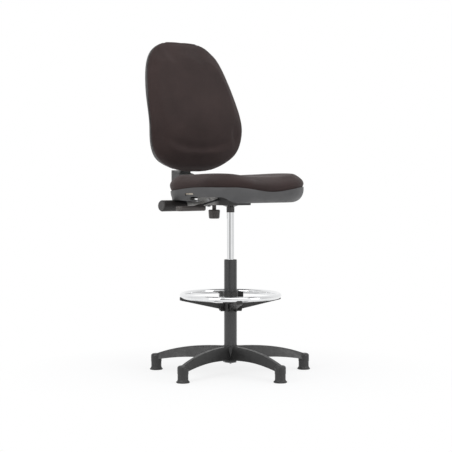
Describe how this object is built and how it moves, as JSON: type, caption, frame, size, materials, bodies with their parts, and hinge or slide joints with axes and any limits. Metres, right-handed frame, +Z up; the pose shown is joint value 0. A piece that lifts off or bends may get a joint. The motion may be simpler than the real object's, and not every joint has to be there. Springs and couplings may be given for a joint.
{
  "type": "drafting chair",
  "caption": "Tall swivel drafting chair with padded seat and back, gas height column, clamped chrome foot ring and a splayed moulded base on glides.",
  "frame": {"origin": "on the floor at the axis of the gas column", "axes": "+Z up along the column, -Y the way the sitter faces, +X the sitter's left hand"},
  "size_m": [0.636, 0.6641, 1.304],
  "materials": {
    "base_nylon": "moulded satin black nylon",
    "glide_nylon": "moulded dark grey nylon",
    "steel": "zinc plated steel",
    "column_black": "satin black powder coat",
    "bush_plastic": "acetal",
    "chrome": "bright chrome plate",
    "socket_black": "dark satin coat",
    "mech_paint": "warm grey paint",
    "carrier_plastic": "black moulded plastic",
    "control_plastic": "black moulded plastic",
    "cap_plastic": "grey moulded plastic",
    "pan_plastic": "grained mid grey plastic",
    "cover_plastic": "grained dark grey plastic",
    "plywood": "beech plywood",
    "fabric": "woven charcoal brown upholstery",
    "rubber": "soft black rubber"
  },
  "bodies": {
    "base": {"base_star": "base_nylon", "glide_foot_1": "glide_nylon", "glide_foot_2": "glide_nylon", "glide_foot_3": "glide_nylon", "glide_foot_4": "glide_nylon", "glide_foot_5": "glide_nylon", "glide_stems": "steel", "gas_column": "column_black", "column_bush": "bush_plastic", "bearing_washer_lower": "steel", "bearing_cage": "bush_plastic", "bearing_balls": "steel"},
    "rod": {"piston_rod": "steel", "piston": "bush_plastic", "bearing_washer_upper": "steel", "rod_buffer": "rubber", "clip_washer": "steel", "rod_clip": "steel"},
    "seat_frame": {"gas_cylinder": "chrome", "cylinder_gland": "bush_plastic", "taper_socket": "socket_black", "mech_housing": "mech_paint", "mounting_plate": "steel", "handle_tube": "mech_paint", "tilt_pin": "steel", "lever_pivot": "steel", "spring_seat": "steel", "tension_spring": "steel", "seat_pan": "pan_plastic", "seat_board": "plywood", "seat_cushion": "fabric", "seat_bolts": "steel"},
    "valve": {"valve_pin": "steel"},
    "height_lever": {"release_arm": "column_black", "lever_rod": "column_black", "lever_paddle": "control_plastic"},
    "lock_grip": {"handle_shaft": "steel", "handle_grip": "control_plastic", "handle_cap": "cap_plastic"},
    "tension_wheel": {"tension_knob": "control_plastic", "tension_screw": "steel"},
    "back_arm": {"tilt_bracket": "column_black", "back_bar": "column_black", "bar_bolts": "steel", "upright_cover": "cover_plastic"},
    "backrest": {"back_cushion": "fabric", "back_board": "plywood", "back_shell": "cover_plastic", "back_carriage": "cover_plastic", "carriage_bolts": "steel"},
    "ring_carrier": {"foot_ring": "chrome", "ring_spider": "carrier_plastic", "ring_screws": "steel", "clamp_nut": "steel"},
    "ring_clamp": {"clamp_knob": "carrier_plastic", "clamp_stud": "steel"}
  },
  "joints": [
    {"name": "swivel", "type": "hinge", "parent": "base", "child": "rod", "pos_m": [0, 0, 0.06], "axis": [0, 0, 1], "continuous": true},
    {"name": "seat_lift", "type": "slide", "parent": "rod", "child": "seat_frame", "axis": [0, 0, 1], "range_m": [-0.18, 0.07]},
    {"name": "valve_press", "type": "slide", "parent": "seat_frame", "child": "valve", "axis": [0, 0, -1], "range_m": [0, 0.0035]},
    {"name": "lever_lift", "type": "hinge", "parent": "seat_frame", "child": "height_lever", "pos_m": [-0.032, 0, 0.679], "axis": [0, 1, 0], "range_deg": [0, 6], "stiffness_Nm_per_rad": 2},
    {"name": "grip_turn", "type": "hinge", "parent": "seat_frame", "child": "lock_grip", "pos_m": [-0.06, 0.1, 0.654], "axis": [-1, 0, 0], "range_deg": [0, 75]},
    {"name": "tension_turn", "type": "hinge", "parent": "seat_frame", "child": "tension_wheel", "pos_m": [0, 0.1, 0.62], "axis": [0, 0, 1], "continuous": true},
    {"name": "back_tilt", "type": "hinge", "parent": "seat_frame", "child": "back_arm", "pos_m": [0, 0.06, 0.672], "axis": [-1, 0, 0], "range_deg": [-3, 14], "deforming": ["tension_spring"]},
    {"name": "back_height", "type": "slide", "parent": "back_arm", "child": "backrest", "axis": [0, 0, 1], "range_m": [0, 0.065]},
    {"name": "ring_height", "type": "slide", "parent": "base", "child": "ring_carrier", "axis": [0, 0, 1], "range_m": [-0.12, 0.11]},
    {"name": "clamp_turn", "type": "hinge", "parent": "ring_carrier", "child": "ring_clamp", "pos_m": [0.02507, 0.02988, 0.304], "axis": [0.766, -0.6428, 0], "continuous": true}
  ],
  "couplings": [
    {"joint": "valve_press", "follows": "lever_lift", "m_per_rad": 0.033}
  ]
}
